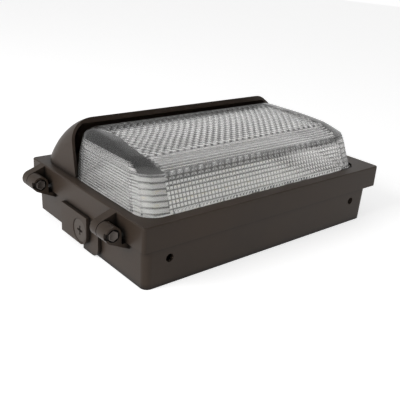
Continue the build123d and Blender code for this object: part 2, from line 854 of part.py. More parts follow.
with BuildPart() as reflector:
    foot_x = board_length + 2 * reflector_gap
    foot_y = board_breadth + 2 * reflector_gap
    flare_x = rail_inner_x - reflector_end_gap - reflector_lip - foot_x / 2
    flare_y = rail_inner_y + engine_y - reflector_side_gap - reflector_lip - foot_y / 2
    for skin, mode in ((reflector_sheet, Mode.ADD), (0, Mode.SUBTRACT)):
        with BuildSketch(Plane.XY.offset(plate_top)) as foot:
            with Locations((0, engine_y)):
                Rectangle(foot_x + 2 * skin, foot_y + 2 * skin)
        with BuildSketch(Plane.XY.offset(plate_top + reflector_rise)) as mouth_outline:
            with Locations((0, engine_y)):
                Rectangle(
                    foot_x + 2 * (flare_x + skin),
                    foot_y + 2 * (flare_y + skin),
                )
        loft(ruled=True, mode=mode)
    with BuildSketch(Plane.XY.offset(plate_top + reflector_rise)):
        with Locations((0, engine_y)):
            Rectangle(
                foot_x + 2 * (flare_x + reflector_lip),
                foot_y + 2 * (flare_y + reflector_lip),
            )
            Rectangle(
                foot_x + 2 * flare_x, foot_y + 2 * flare_y, mode=Mode.SUBTRACT
            )
    extrude(amount=-reflector_sheet)
save(reflector.part, "reflector")

# ================================================================ driver and wiring
with BuildPart() as led_driver:
    with BuildSketch(Plane.XY.offset(housing_wall)):
        with Locations((driver_x, driver_y)):
            Rectangle(driver_length, driver_breadth)
    extrude(amount=driver_height)
    chamfer(faces().sort_by(Axis.Z)[-1].edges(), edge_round)
    with BuildSketch(Plane.XY.offset(housing_wall)):
        with Locations((driver_x, driver_y)):
            Rectangle(driver_length + 2 * driver_tab, driver_breadth / 2)
    extrude(amount=driver_tab_thickness)
    tab_spacing = driver_length + driver_tab
    with Locations((driver_x, driver_y, housing_wall + driver_tab_thickness)):
        with GridLocations(tab_spacing, 1, 2, 1):
            Hole(tray_screw_diameter / 2 + hinge_play, depth=driver_tab_thickness)
save(led_driver.part, "led_driver")

with BuildPart() as driver_screws:
    with BuildSketch(Plane.XY.offset(housing_wall + driver_tab_thickness)):
        with Locations((driver_x, driver_y)), GridLocations(tab_spacing, 1, 2, 1):
            RegularPolygon(tray_screw_head / 2, head_sides)
    extrude(amount=tray_screw_head_height)
    with BuildSketch(Plane.XY.offset(housing_wall)):
        with Locations((driver_x, driver_y)), GridLocations(tab_spacing, 1, 2, 1):
            RegularPolygon(tray_screw_diameter / 2, lead_sides)
    extrude(amount=driver_tab_thickness)
save(driver_screws.part, "driver_screws")

driver_end = driver_x + driver_length / 2
surge_x = driver_end + surge_gap + surge_length / 2
terminal_x = surge_x + surge_length / 2 + terminal_gap + terminal_length / 2
with BuildPart() as surge_protector:
    with BuildSketch(Plane.XY.offset(housing_wall)):
        with Locations((surge_x, driver_y)):
            Rectangle(surge_length, surge_breadth)
    extrude(amount=surge_height)
    chamfer(edges().filter_by(Axis.Z) + faces().sort_by(Axis.Z)[-1].edges(), edge_round)
save(surge_protector.part, "surge_protector")

with BuildPart() as terminal_block:
    with BuildSketch(Plane.XY.offset(housing_wall)):
        with Locations((terminal_x, driver_y)):
            Rectangle(terminal_length, terminal_breadth)
    extrude(amount=terminal_height)
    pole_pitch = terminal_breadth / terminal_poles
    with BuildSketch(Plane.XY.offset(housing_wall + terminal_height)):
        with Locations((terminal_x, driver_y)), GridLocations(1, pole_pitch, 1, terminal_poles):
            RegularPolygon(pole_pitch / 3, head_sides)
    extrude(amount=-terminal_height / 3, mode=Mode.SUBTRACT)
save(terminal_block.part, "terminal_block")

lead_level = housing_wall + surge_height / 2
lead_pitch = surge_breadth / 4
with BuildPart() as supply_leads:
    for start, end in (
        (driver_end, surge_x - surge_length / 2),
        (surge_x + surge_length / 2, terminal_x - terminal_length / 2),
    ):
        with BuildSketch(Plane.YZ.offset(start)):
            with Locations((driver_y, lead_level)), GridLocations(lead_pitch, 1, 2, 1):
                RegularPolygon(lead_diameter / 2, lead_sides)
        extrude(amount=end - start)
save(supply_leads.part, "supply_leads")

with BuildPart() as led_leads:
    lead_start_y = driver_y - driver_breadth / 2
    lead_x = min(driver_end - lead_hole, lead_spot[0])
    for lane in (-0.5, 0.5):
        x = lead_spot[0] + lane * lead_diameter * 1.2
        start_x = lead_x + lane * lead_diameter * 1.2
        height = lead_level + lane * lead_diameter * 1.2
        with BuildLine() as route:
            Polyline(
                (start_x, lead_start_y, height),
                (start_x, lead_start_y - lead_bend, height),
                (x, lead_spot[1] + lead_bend, height),
                (x, lead_spot[1], height + lead_bend),
                (x, lead_spot[1], board_top),
            )
        with BuildSketch(Plane((start_x, lead_start_y, height), z_dir=(0, -1, 0))):
            RegularPolygon(lead_diameter / 2, lead_sides)
        sweep(path=route.wire(), transition=Transition.RIGHT)
save(led_leads.part, "led_leads")

with BuildPart() as ground_screw:
    with BuildSketch(Plane.XY.offset(2 * housing_wall)):
        with Locations((ground_x, ground_y)):
            RegularPolygon(tray_screw_head / 2, 6)
    extrude(amount=tray_screw_head_height)
    with BuildSketch(Plane.XY.offset(2 * housing_wall)):
        with Locations((ground_x, ground_y)):
            RegularPolygon(tray_screw_diameter / 2, lead_sides)
    extrude(amount=-housing_wall)
save(ground_screw.part, "ground_screw")
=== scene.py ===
"""A cast wall pack light: its glass, lamps, fasteners and finishes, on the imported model."""
from collections import namedtuple
from math import cos, pi, radians, sin, sqrt, tan

import bpy
from bpy.props import FloatProperty, FloatVectorProperty, IntProperty, PointerProperty
from mathutils import Matrix, Vector


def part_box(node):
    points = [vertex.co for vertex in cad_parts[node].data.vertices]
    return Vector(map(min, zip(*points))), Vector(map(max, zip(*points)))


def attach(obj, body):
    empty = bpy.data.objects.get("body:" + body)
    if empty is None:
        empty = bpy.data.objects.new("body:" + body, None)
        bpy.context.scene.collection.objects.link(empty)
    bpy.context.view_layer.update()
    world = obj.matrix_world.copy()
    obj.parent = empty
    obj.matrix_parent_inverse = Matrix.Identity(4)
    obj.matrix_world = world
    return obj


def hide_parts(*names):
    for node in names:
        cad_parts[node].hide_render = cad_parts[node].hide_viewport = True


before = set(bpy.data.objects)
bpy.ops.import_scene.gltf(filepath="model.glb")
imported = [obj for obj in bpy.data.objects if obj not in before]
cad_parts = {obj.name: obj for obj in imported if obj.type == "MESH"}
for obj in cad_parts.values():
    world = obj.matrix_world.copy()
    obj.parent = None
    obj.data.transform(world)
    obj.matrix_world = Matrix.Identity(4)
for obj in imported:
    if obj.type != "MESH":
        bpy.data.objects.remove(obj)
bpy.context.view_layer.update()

bl_info = {
    "name": "Wall Pack Light",
    "version": (1, 0, 0),
    "blender": (4, 5, 0),
    "location": "3D View > Sidebar > Wall Pack",
    "description": "Builds the glass, lamps, fasteners and finishes of a cast wall pack light",
    "category": "Object",
}

MM = 0.001
glass_low, glass_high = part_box("glass_refractor")

# The glass's profile in millimetres, as heights over its base and depths behind its near side:
# the foot, the knee, the end of the ridged band, the crown's slope and its peak.
CROWN_STEPS = ((0.0, 0.0), (38.1, 15.5), (46.6, 45.5), (50.6, 87.5), (51.3, 108.0))
KNEE_HEIGHT, KNEE_DEPTH = CROWN_STEPS[1]
BAND_HEIGHT, BAND_DEPTH = CROWN_STEPS[2]
PEAK_HEIGHT, PEAK_DEPTH = CROWN_STEPS[-1]
GLASS_HEIGHT = 51.6
SIDE_RADIUS, SIDE_LEAN = 26.0, 7.0
FAR_RADIUS, FAR_LEAN = 6.0, 3.0
BASE_CORNER, KNEE_CORNER, CROWN_CORNER = 28.0, 24.4, 7.54
CORNER_FACETS = 3
END_STRAIGHT = 1.0
FLANGE, FLANGE_CORNER = 3.2, 24.0
FLANGE_TOP, FLANGE_LOW = 4.7, 8.7


# ------------------------------------------------------------------ sizes and colours
class WallPackGlass(bpy.types.PropertyGroup):
    """Sizes of the prismatic glass"""

    half_width: FloatProperty(
        name="Half width", description="From the middle to the side, at the base",
        default=glass_high.x - FLANGE * MM, unit="LENGTH",
    )
    near_side: FloatProperty(
        name="Near side", description="Where the lower side stands, at the base",
        default=glass_low.y + FLANGE * MM, unit="LENGTH",
    )
    far_side: FloatProperty(
        name="Far side", description="Where the side under the visor stands, at the base",
        default=glass_high.y - FLANGE * MM, unit="LENGTH",
    )
    base: FloatProperty(
        name="Base level", description="The outside of the door frame's plate",
        default=glass_high.z - PEAK_HEIGHT * MM, unit="LENGTH",
    )
    wall: FloatProperty(
        name="Wall", description="Thickness of the glass", default=5.0 * MM, unit="LENGTH"
    )
    columns: IntProperty(
        name="Prism columns", description="Prisms across the lower side", default=58
    )
    rows: IntProperty(name="Prism rows", description="Prisms up the lower side", default=9)
    groove: FloatProperty(
        name="Groove depth", description="Depth of the grooves between prisms",
        default=0.75 * MM, unit="LENGTH",
    )
    flute: FloatProperty(
        name="Flute depth", description="Depth of the flutes round the sides",
        default=0.5 * MM, unit="LENGTH",
    )
    diamond: FloatProperty(
        name="Diamond depth", description="Depth between the diamonds of the crown",
        default=0.9 * MM, unit="LENGTH",
    )


class WallPackFasteners(bpy.types.PropertyGroup):
    """Sizes of the hinge bolts and nuts"""

    chamfer: FloatProperty(
        name="Head chamfer", description="Chamfer on the corners of a hexagon",
        default=0.55 * MM, unit="LENGTH",
    )
    thread_pitch: FloatProperty(
        name="Thread pitch", description="Distance from crest to crest",
        default=1.0 * MM, unit="LENGTH",
    )


class WallPackColours(bpy.types.PropertyGroup):
    """Colours that the photograph shows"""

    coat: FloatVectorProperty(
        name="Coat", description="Dark bronze powder coat", subtype="COLOR", size=3,
        default=(0.050, 0.036, 0.027), min=0.0, max=1.0,
    )
    plug: FloatVectorProperty(
        name="Plug", description="The coat on the conduit plugs", subtype="COLOR", size=3,
        default=(0.070, 0.056, 0.046), min=0.0, max=1.0,
    )
    glass: FloatVectorProperty(
        name="Glass", description="Body colour of the glass", subtype="COLOR", size=3,
        default=(0.95, 0.945, 0.935), min=0.0, max=1.0,
    )


class WallPackStage(bpy.types.PropertyGroup):
    """Lamps and lens of the stage"""

    key_power: FloatProperty(
        name="Key light", description="Power of the high lamp on the left, in watts", default=17.0
    )
    fill_power: FloatProperty(
        name="Fill light", description="Power of the low lamp in front, in watts", default=3.5
    )
    lens: FloatProperty(
        name="Lens", description="Focal length in millimetres on a 36 mm sensor", default=54.2
    )


# ------------------------------------------------------------------ modelling helpers
# How much of a face's normal points a given way, for the face to count as facing that way.
FACING = 0.9


def deselect():
    """Leaves edit mode and selects nothing."""
    if bpy.context.object and bpy.context.object.mode != "OBJECT":
        bpy.ops.object.mode_set(mode="OBJECT")
    bpy.ops.object.select_all(action="DESELECT")


def activate(*pieces):
    """Selects these pieces alone, and makes the first one active."""
    deselect()
    for piece in pieces:
        piece.select_set(True)
    bpy.context.view_layer.objects.active = pieces[0]


def named(piece, name):
    """Names an object and its mesh alike."""
    piece.name = piece.data.name = name
    return piece


def edit(piece, kind="FACE", action="DESELECT"):
    """Opens a piece in edit mode, with nothing or everything selected."""
    activate(piece)
    bpy.ops.object.mode_set(mode="EDIT")
    bpy.ops.mesh.select_mode(type=kind)
    bpy.ops.mesh.select_all(action=action)


def leave_edit():
    bpy.ops.object.mode_set(mode="OBJECT")


def select_faces(piece, test):
    """Opens a piece with the faces selected whose middle and normal pass the test."""
    edit(piece, "FACE")
    leave_edit()
    for face in piece.data.polygons:
        face.select = test(face.center, face.normal)
    bpy.ops.object.mode_set(mode="EDIT")


def select_edges(piece, test):
    """Opens a piece with the edges selected whose two ends both pass the test."""
    edit(piece, "EDGE")
    leave_edit()
    points = piece.data.vertices
    for edge in piece.data.edges:
        edge.select = all(test(points[end].co) for end in edge.vertices)
    bpy.ops.object.mode_set(mode="EDIT")


def grid_patch(name, columns, rows, place, clear=None):
    """A grid whose crossing points are set down one by one on a curved side."""
    deselect()
    bpy.ops.mesh.primitive_grid_add(x_subdivisions=columns, y_subdivisions=rows, size=1.0)
    patch = named(bpy.context.object, name)
    # Each point carries the glass's painted light and shade, at the plain level when none is given.
    painted_light = patch.data.attributes.new("painted_light", "FLOAT", "POINT")
    for point in patch.data.vertices:
        column = round((point.co.x + 0.5) * columns)
        row = round((point.co.y + 0.5) * rows)
        point.co = Vector(place(column, row))
        painted_light.data[point.index].value = clear(column, row) if clear else PLAIN_PAINTED_LIGHT
    return patch


def poke_cells(piece, lift, clear):
    """Turns each cell into a four-sided prism, with its own painted light at the tip."""
    corners = len(piece.data.vertices)
    edit(piece, action="SELECT")
    bpy.ops.mesh.poke(offset=lift, center_mode="MEDIAN")
    leave_edit()
    painted_light = piece.data.attributes["painted_light"]
    for index in range(corners, len(piece.data.vertices)):
        painted_light.data[index].value = clear


def turn_inside_out(piece):
    """Makes a patch's faces look the other way."""
    edit(piece, action="SELECT")
    bpy.ops.mesh.flip_normals()
    leave_edit()


def join(name, *pieces):
    """Joins pieces into the first one, under a new name."""
    activate(*pieces)
    bpy.ops.object.join()
    return named(bpy.context.object, name)


def merge(piece, distance):
    """Merges the points that lie closer together than a distance."""
    edit(piece, "VERT", "SELECT")
    bpy.ops.mesh.remove_doubles(threshold=distance)
    leave_edit()


def shade(piece, angle):
    """Shades a piece smooth, apart from edges sharper than an angle in degrees."""
    activate(piece)
    bpy.ops.object.shade_smooth_by_angle(angle=radians(angle))


def copies(piece, name, places):
    """Copies of one modelled piece at each place, joined as one piece."""
    made = []
    for place in places:
        twin = piece.copy()
        twin.data = piece.data.copy()
        bpy.context.scene.collection.objects.link(twin)
        twin.data.transform(Matrix.Translation(Vector(place)))
        made.append(twin)
    bpy.data.objects.remove(piece)
    return join(name, *made)


def carry(piece, body, slot_name, material, *nodes):
    """Puts a finished piece on its body, in the place of its CAD nodes."""
    piece.data.materials.clear()
    piece.data.materials.append(material)
    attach(piece, body)
    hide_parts(*nodes)


# ------------------------------------------------------------------ shader nodes
def group_tree(name, inputs, outputs):
    """An empty shader group with its sockets, and its two end nodes."""
    tree = bpy.data.node_groups.new(name, "ShaderNodeTree")
    for label, kind, value in inputs:
        socket = tree.interface.new_socket(name=label, in_out="INPUT", socket_type=kind)
        if value is not None:
            socket.default_value = value
    for label, kind in outputs:
        tree.interface.new_socket(name=label, in_out="OUTPUT", socket_type=kind)
    entry = tree.nodes.new("NodeGroupInput")
    result = tree.nodes.new("NodeGroupOutput")
    return tree, entry, result


def feed(tree, value, socket):
    """Links a socket to another node's output, or gives it a plain value."""
    if isinstance(value, bpy.types.NodeSocket):
        tree.links.new(value, socket)
    elif isinstance(value, tuple):
        socket.default_value = (*value, 1.0)
    else:
        socket.default_value = value


def noise(tree, vector, scale, detail):
    """Noise texture, as a factor from 0 to 1."""
    node = tree.nodes.new("ShaderNodeTexNoise")
    node.inputs["Detail"].default_value = detail
    node.inputs["Roughness"].default_value = 0.55
    feed(tree, vector, node.inputs["Vector"])
    feed(tree, scale, node.inputs["Scale"])
    return node.outputs["Fac"]


def calculate(tree, operation, first, second):
    """Math node on two values."""
    node = tree.nodes.new("ShaderNodeMath")
    node.operation = operation
    feed(tree, first, node.inputs[0])
    feed(tree, second, node.inputs[1])
    return node.outputs[0]


def spread(tree, value, low, high, to_low=0.0, to_high=1.0):
    """Map Range node, from low and high to two other values."""
    node = tree.nodes.new("ShaderNodeMapRange")
    labels = ("Value", "From Min", "From Max", "To Min", "To Max")
    for label, item in zip(labels, (value, low, high, to_low, to_high)):
        feed(tree, item, node.inputs[label])
    return node.outputs["Result"]


def mix_colours(tree, factor, first, second):
    """Mix node on two colours."""
    node = tree.nodes.new("ShaderNodeMix")
    node.data_type = "RGBA"
    feed(tree, factor, node.inputs["Factor"])
    for label, item in (("A", first), ("B", second)):
        socket = [s for s in node.inputs if s.name == label and s.type == "RGBA"][0]
        feed(tree, item, socket)
    return [s for s in node.outputs if s.type == "RGBA"][0]


def make_grain_group():
    """Fine grain of a coat or casting, as a height for a bump."""
    tree, entry, result = group_tree(
        "Casting grain",
        [
            ("Vector", "NodeSocketVector", None),
            ("Grain", "NodeSocketFloat", 900.0),
            ("Waviness", "NodeSocketFloat", 60.0),
            ("Wave share", "NodeSocketFloat", 0.5),
        ],
        [("Height", "NodeSocketFloat")],
    )
    fine = noise(tree, entry.outputs["Vector"], entry.outputs["Grain"], 3.0)
    broad = noise(tree, entry.outputs["Vector"], entry.outputs["Waviness"], 2.0)
    part = calculate(tree, "MULTIPLY", broad, entry.outputs["Wave share"])
    height = calculate(tree, "ADD", fine, part)
    tree.links.new(height, result.inputs["Height"])
    return tree


def make_mottle_group():
    """A colour that drifts between a darker and a lighter tone over the surface."""
    tree, entry, result = group_tree(
        "Tone drift",
        [
            ("Vector", "NodeSocketVector", None),
            ("Dark", "NodeSocketColor", (0.05, 0.05, 0.05, 1.0)),
            ("Light", "NodeSocketColor", (0.1, 0.1, 0.1, 1.0)),
            ("Patch size", "NodeSocketFloat", 14.0),
            ("Smooth", "NodeSocketFloat", 0.38),
            ("Rough", "NodeSocketFloat", 0.5),
        ],
        [("Color", "NodeSocketColor"), ("Roughness", "NodeSocketFloat")],
    )
    patch = noise(tree, entry.outputs["Vector"], entry.outputs["Patch size"], 5.0)
    share = spread(tree, patch, 0.3, 0.7)
    colour = mix_colours(tree, share, entry.outputs["Dark"], entry.outputs["Light"])
    rough = spread(tree, patch, 0.3, 0.7, entry.outputs["Smooth"], entry.outputs["Rough"])
    tree.links.new(colour, result.inputs["Color"])
    tree.links.new(rough, result.inputs["Roughness"])
    return tree


def make_dust_group():
    """Pale dust that settles on faces that look up, broken into patches."""
    tree, entry, result = group_tree(
        "Settled dust",
        [
            ("Vector", "NodeSocketVector", None),
            ("Normal", "NodeSocketVector", None),
            ("Base", "NodeSocketColor", (0.05, 0.05, 0.05, 1.0)),
            ("Dust", "NodeSocketColor", (0.35, 0.33, 0.30, 1.0)),
            ("Amount", "NodeSocketFloat", 0.08),
        ],
        [("Color", "NodeSocketColor")],
    )
    split = tree.nodes.new("ShaderNodeSeparateXYZ")
    tree.links.new(entry.outputs["Normal"], split.inputs[0])
    up = spread(tree, split.outputs["Z"], 0.2, 1.0)
    patch = noise(tree, entry.outputs["Vector"], 35.0, 6.0)
    share = calculate(tree, "MULTIPLY", up, spread(tree, patch, 0.4, 0.75))
    amount = calculate(tree, "MULTIPLY", share, entry.outputs["Amount"])
    colour = mix_colours(tree, amount, entry.outputs["Base"], entry.outputs["Dust"])
    tree.links.new(colour, result.inputs["Color"])
    return tree


def make_crevice_group():
    """Painted shade that darkens seams and inner corners, by how shut in they are."""
    tree, entry, result = group_tree(
        "Painted crevice shade",
        [
            ("Base", "NodeSocketColor", (0.05, 0.05, 0.05, 1.0)),
            ("Reach", "NodeSocketFloat", 8.0 * MM),
            ("Depth", "NodeSocketFloat", 0.5),
        ],
        [("Color", "NodeSocketColor")],
    )
    openness = tree.nodes.new("ShaderNodeAmbientOcclusion")
    openness.samples = 8
    tree.links.new(entry.outputs["Reach"], openness.inputs["Distance"])
    shut = spread(tree, openness.outputs["AO"], 0.45, 0.95, 1.0, 0.0)
    share = calculate(tree, "MULTIPLY", shut, entry.outputs["Depth"])
    # the near-black colour of the painted shade
    colour = mix_colours(tree, share, entry.outputs["Base"], (0.008, 0.007, 0.006))
    tree.links.new(colour, result.inputs["Color"])
    return tree


# ------------------------------------------------------------------ materials
GROUPS = {}
MATERIALS = {}
RELIEF_DEPTH = 0.1 * MM

# The glass takes its full painted shade where its painted light is at the first value, and is plain
# from the second up.
PAINTED_SHADE_FULL, PAINTED_SHADE_NONE = 0.15, 0.55
# the tone of the glass's colour under full painted shade
PAINTED_SHADE_TONE = 0.05
GLASS_TRANSMISSION, GLASS_INDEX = 0.9, 1.47
GLASS_SHADOW = 0.15


def place_group(tree, name, **values):
    """Adds a shader group, with its inputs linked or set by their names."""
    node = tree.nodes.new("ShaderNodeGroup")
    node.node_tree = GROUPS[name]
    for label, value in values.items():
        feed(tree, value, node.inputs[label.replace("_", " ")])
    return node


def tone(colour, factor):
    """A darker or lighter tone of a colour."""
    return tuple(min(part * factor, 1.0) for part in colour)


def new_material(name):
    """A new material, its node tree, its shader and the object's own coordinates."""
    material = bpy.data.materials.new(name)
    material.use_nodes = True
    tree = material.node_tree
    where = tree.nodes.new("ShaderNodeTexCoord").outputs["Object"]
    return material, tree, tree.nodes["Principled BSDF"], where


def add_relief(tree, shader, relief, strength):
    """Puts a group's height on the shader as a bump."""
    bump = tree.nodes.new("ShaderNodeBump")
    bump.inputs["Strength"].default_value = strength
    bump.inputs["Distance"].default_value = RELIEF_DEPTH
    tree.links.new(relief.outputs["Height"], bump.inputs["Height"])
    tree.links.new(bump.outputs["Normal"], shader.inputs["Normal"])


def coated(name, colour, metallic=0.0, smooth=0.36, rough=0.5, grain=900.0, bump=0.25,
           drift=0.12, dust=0.0, specular=0.5, crevice=0.0):
    """A solid finish: drifting tone, fine grain in relief, a little dust and painted shade in seams
    and inner corners.
    """
    material, tree, shader, where = new_material(name)
    tones = place_group(
        tree, "tone", Vector=where, Dark=tone(colour, 1.0 - drift), Light=tone(colour, 1.0 + drift),
        Smooth=smooth, Rough=rough,
    )
    base = tones.outputs["Color"]
    if dust:
        normal = tree.nodes.new("ShaderNodeNewGeometry").outputs["Normal"]
        layer = place_group(tree, "dust", Vector=where, Normal=normal, Base=base, Amount=dust)
        base = layer.outputs["Color"]
    # painted shade in seams and inner corners, from how shut in they are
    if crevice:
        base = place_group(tree, "crevice", Base=base, Depth=crevice).outputs["Color"]
    add_relief(tree, shader, place_group(tree, "grain", Vector=where, Grain=grain), bump)
    tree.links.new(base, shader.inputs["Base Color"])
    tree.links.new(tones.outputs["Roughness"], shader.inputs["Roughness"])
    shader.inputs["Metallic"].default_value = metallic
    shader.inputs["Specular IOR Level"].default_value = specular
    return material


def pressed_glass(colour):
    """Clear glass with painted shade in its grooves and painted light on its prisms, which lets the
    lamps' light into the lantern.
    """
    material, tree, shader, where = new_material("pressed_glass")
    tones = place_group(
        tree, "tone", Vector=where, Dark=tone(colour, 0.97), Light=tone(colour, 1.02),
        Patch_size=30.0, Smooth=0.10, Rough=0.18,
    )
    relief = place_group(tree, "grain", Vector=where, Grain=700.0, Waviness=160.0, Wave_share=1.5)
    add_relief(tree, shader, relief, 0.2)
    painted_light = tree.nodes.new("ShaderNodeAttribute")
    painted_light.attribute_name = "painted_light"
    # 0 gives the full painted shade, 1 the glass's own drifting tone
    clear = spread(tree, painted_light.outputs["Fac"], PAINTED_SHADE_FULL, PAINTED_SHADE_NONE)
    painted_colour = mix_colours(tree, clear, tone(colour, PAINTED_SHADE_TONE), tones.outputs["Color"])
    tree.links.new(painted_colour, shader.inputs["Base Color"])
    tree.links.new(tones.outputs["Roughness"], shader.inputs["Roughness"])
    shader.inputs["Transmission Weight"].default_value = GLASS_TRANSMISSION
    shader.inputs["IOR"].default_value = GLASS_INDEX
    shadow = tree.nodes.new("ShaderNodeLightPath").outputs["Is Shadow Ray"]
    tree.links.new(spread(tree, shadow, 0.0, 1.0, 1.0, GLASS_SHADOW), shader.inputs["Alpha"])
    return material


class WALLPACK_OT_materials(bpy.types.Operator):
    """Makes the shader groups and every material"""

    bl_idname = "wallpack.materials"
    bl_label = "Materials"

    def execute(self, context):
        colours = context.scene.wall_pack_colours
        GROUPS.update(
            grain=make_grain_group(), tone=make_mottle_group(), dust=make_dust_group(),
            crevice=make_crevice_group(),
        )
        MATERIALS.update(
            coat=coated(
                "bronze_coat", tuple(colours.coat), smooth=0.34, rough=0.46, grain=1100.0,
                bump=0.35, dust=0.02, specular=0.16, crevice=1.0,
            ),
            plug=coated(
                "plug_coat", tuple(colours.plug), smooth=0.4, rough=0.52, grain=1000.0,
                bump=0.4, specular=0.25, crevice=0.6,
            ),
            bolt=coated(
                "dark_bolt", (0.11, 0.095, 0.085), metallic=0.8, smooth=0.28, rough=0.42, bump=0.2
            ),
            rubber=coated(
                "gasket_rubber", (0.03, 0.03, 0.03), smooth=0.7, rough=0.85, grain=600.0, bump=0.5
            ),
            zinc=coated(
                "zinc_plate", (0.55, 0.55, 0.53), metallic=1.0, smooth=0.25, rough=0.42, bump=0.15
            ),
            nylon=coated("natural_nylon", (0.68, 0.67, 0.6), smooth=0.4, rough=0.55, bump=0.1),
            plate=coated(
                "mill_sheet", (0.62, 0.63, 0.64), metallic=0.9, smooth=0.3, rough=0.45, bump=0.15
            ),
            board=coated(
                "solder_mask", (0.78, 0.79, 0.77), smooth=0.35, rough=0.5, bump=0.1, drift=0.04
            ),
            moulded=coated("moulded_beige", (0.72, 0.69, 0.6), smooth=0.4, rough=0.55, bump=0.1),
            led=coated("phosphor", (0.86, 0.78, 0.5), smooth=0.25, rough=0.4, bump=0.1),
            enamel=coated(
                "white_enamel", (0.8, 0.8, 0.79), smooth=0.22, rough=0.34, bump=0.12, drift=0.03
            ),
            case=coated(
                "folded_case", (0.52, 0.53, 0.54), metallic=0.85, smooth=0.32, rough=0.5, bump=0.2
            ),
            potting=coated("potted_case", (0.03, 0.03, 0.035), smooth=0.35, rough=0.6, bump=0.2),
            leads=coated("wire_cover", (0.04, 0.04, 0.045), smooth=0.35, rough=0.5, bump=0.1),
            ground=coated(
                "green_screw", (0.02, 0.2, 0.07), metallic=0.6, smooth=0.3, rough=0.45, bump=0.1
            ),
            glass=pressed_glass(tuple(colours.glass)),
        )
        return {"FINISHED"}


# ------------------------------------------------------------------ castings and CAD nodes
CAST_NODES = ("door_frame", "conduit_plug_left", "conduit_plug_right", "conduit_plug_top")
NODE_FINISH = {
    "door_frame": "coat", "glass_gasket": "rubber", "glass_clips": "zinc",
    "glass_clip_screws": "zinc", "door_gasket": "rubber", "hinge_washers": "nylon",
    "latch_screw_lower": "bolt", "latch_screw_upper": "bolt", "latch_retainer_lower": "zinc",
    "latch_retainer_upper": "zinc", "conduit_plug_left": "plug", "conduit_plug_right": "plug",
    "conduit_plug_top": "plug", "led_plate": "plate", "led_plate_screws": "zinc",
    "led_board": "board", "led_connector": "moulded", "reflector": "enamel",
    "led_driver": "case", "driver_screws": "zinc", "surge_protector": "potting",
    "terminal_block": "moulded", "supply_leads": "leads", "led_leads": "leads",
    "ground_screw": "ground",
}
WELD_DISTANCE = 0.005 * MM
FLAT_ANGLE = 0.6
EDGE_ANGLE = 28
EDGE_WIDTH = 0.5 * MM

# The two drain holes in the near wall, 6 mm wide in the CAD and 9 mm in the photograph.
DRAIN_X, DRAIN_Z = 141.5 * MM, 29.4 * MM
DRAIN_DIAMETER, DRAIN_CAD_DIAMETER = 9.0, 6.0
DRAIN_REACH = 3.3 * MM
DRAIN_DEPTH = 10.0 * MM


def soften(part):
    """Softens a casting's edges: flat faces joined, small bevels, even normals."""
    weld = part.modifiers.new("Weld", "WELD")
    weld.merge_threshold = WELD_DISTANCE
    flat = part.modifiers.new("Flat faces", "DECIMATE")
    flat.decimate_type = "DISSOLVE"
    flat.angle_limit = radians(FLAT_ANGLE)
    soft = part.modifiers.new("Soft edges", "BEVEL")
    soft.width = EDGE_WIDTH
    soft.segments = 2
    soft.limit_method = "ANGLE"
    soft.angle_limit = radians(EDGE_ANGLE)
    even = part.modifiers.new("Even normals", "WEIGHTED_NORMAL")
    even.keep_sharp = False


class WALLPACK_OT_finishes(bpy.types.Operator):
    """Gives each CAD node that stays its finish, and the castings their softened edges"""

    bl_idname = "wallpack.finishes"
    bl_label = "Finishes"

    def execute(self, context):
        for node, finish in NODE_FINISH.items():
            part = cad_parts[node]
            if not part.material_slots:
                part.data.materials.append(None)
            for slot in part.material_slots:
                slot.link = "OBJECT"
                slot.material = MATERIALS[finish]
        for node in CAST_NODES:
            soften(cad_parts[node])
        return {"FINISHED"}


class WALLPACK_OT_casting(bpy.types.Operator):
    """Takes the back housing's casting over, with its two drain holes at their full width"""

    bl_idname = "wallpack.casting"
    bl_label = "Back casting"

    def execute(self, context):
        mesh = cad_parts["back_housing"].data.copy()
        casting = named(bpy.data.objects.new("back_casting", mesh), "back_casting")
        context.scene.collection.objects.link(casting)
        merge(casting, WELD_DISTANCE)
        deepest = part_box("back_housing")[0].y + DRAIN_DEPTH
        growth = DRAIN_DIAMETER / DRAIN_CAD_DIAMETER - 1
        for point in casting.data.vertices:
            for side in (-1, 1):
                offset = Vector((point.co.x - side * DRAIN_X, 0.0, point.co.z - DRAIN_Z))
                if offset.length < DRAIN_REACH and point.co.y < deepest:
                    point.co += offset * growth
        soften(casting)
        activate(casting)
        for modifier in list(casting.modifiers):
            bpy.ops.object.modifier_apply(modifier=modifier.name)
        carry(casting, "housing", "bronze_coat", MATERIALS["coat"], "back_housing")
        return {"FINISHED"}


# ------------------------------------------------------------------ outlines of the glass
Outline = namedtuple("Outline", "half near far corner level")

SIDE_CELLS = 21
SIDE_COLUMNS = 2 * (CORNER_FACETS + 1) + SIDE_CELLS


def crown_depth(height, inset):
    """How far back the near side lies at a height above the base, in millimetres."""
    depth = 0.0
    for (low, start), (high, end) in zip(CROWN_STEPS, CROWN_STEPS[1:]):
        share = min(max((height + inset - low) / (high - low), 0.0), 1.0)
        depth += share * (end - start)
    return max(depth, max(height, 0.0) * KNEE_DEPTH / KNEE_HEIGHT + inset)


def crown_height(depth):
    """The height of the crown at a depth behind the near side, in millimetres."""
    for (low, start), (high, end) in zip(CROWN_STEPS, CROWN_STEPS[1:]):
        if start < depth <= end:
            return low + (high - low) * (depth - start) / (end - start)
    return PEAK_HEIGHT


def side_inset(height, inset, radius, lean):
    """How far in a leaning side lies at a height, with its round shoulder, in millimetres."""
    shoulder = GLASS_HEIGHT - radius
    arc = radius - inset
    drop = min(max(height - shoulder, 0.0), arc)
    leaning = max(min(height, shoulder), 0.0) * tan(radians(lean))
    return leaning + inset + arc - sqrt(arc**2 - drop**2)


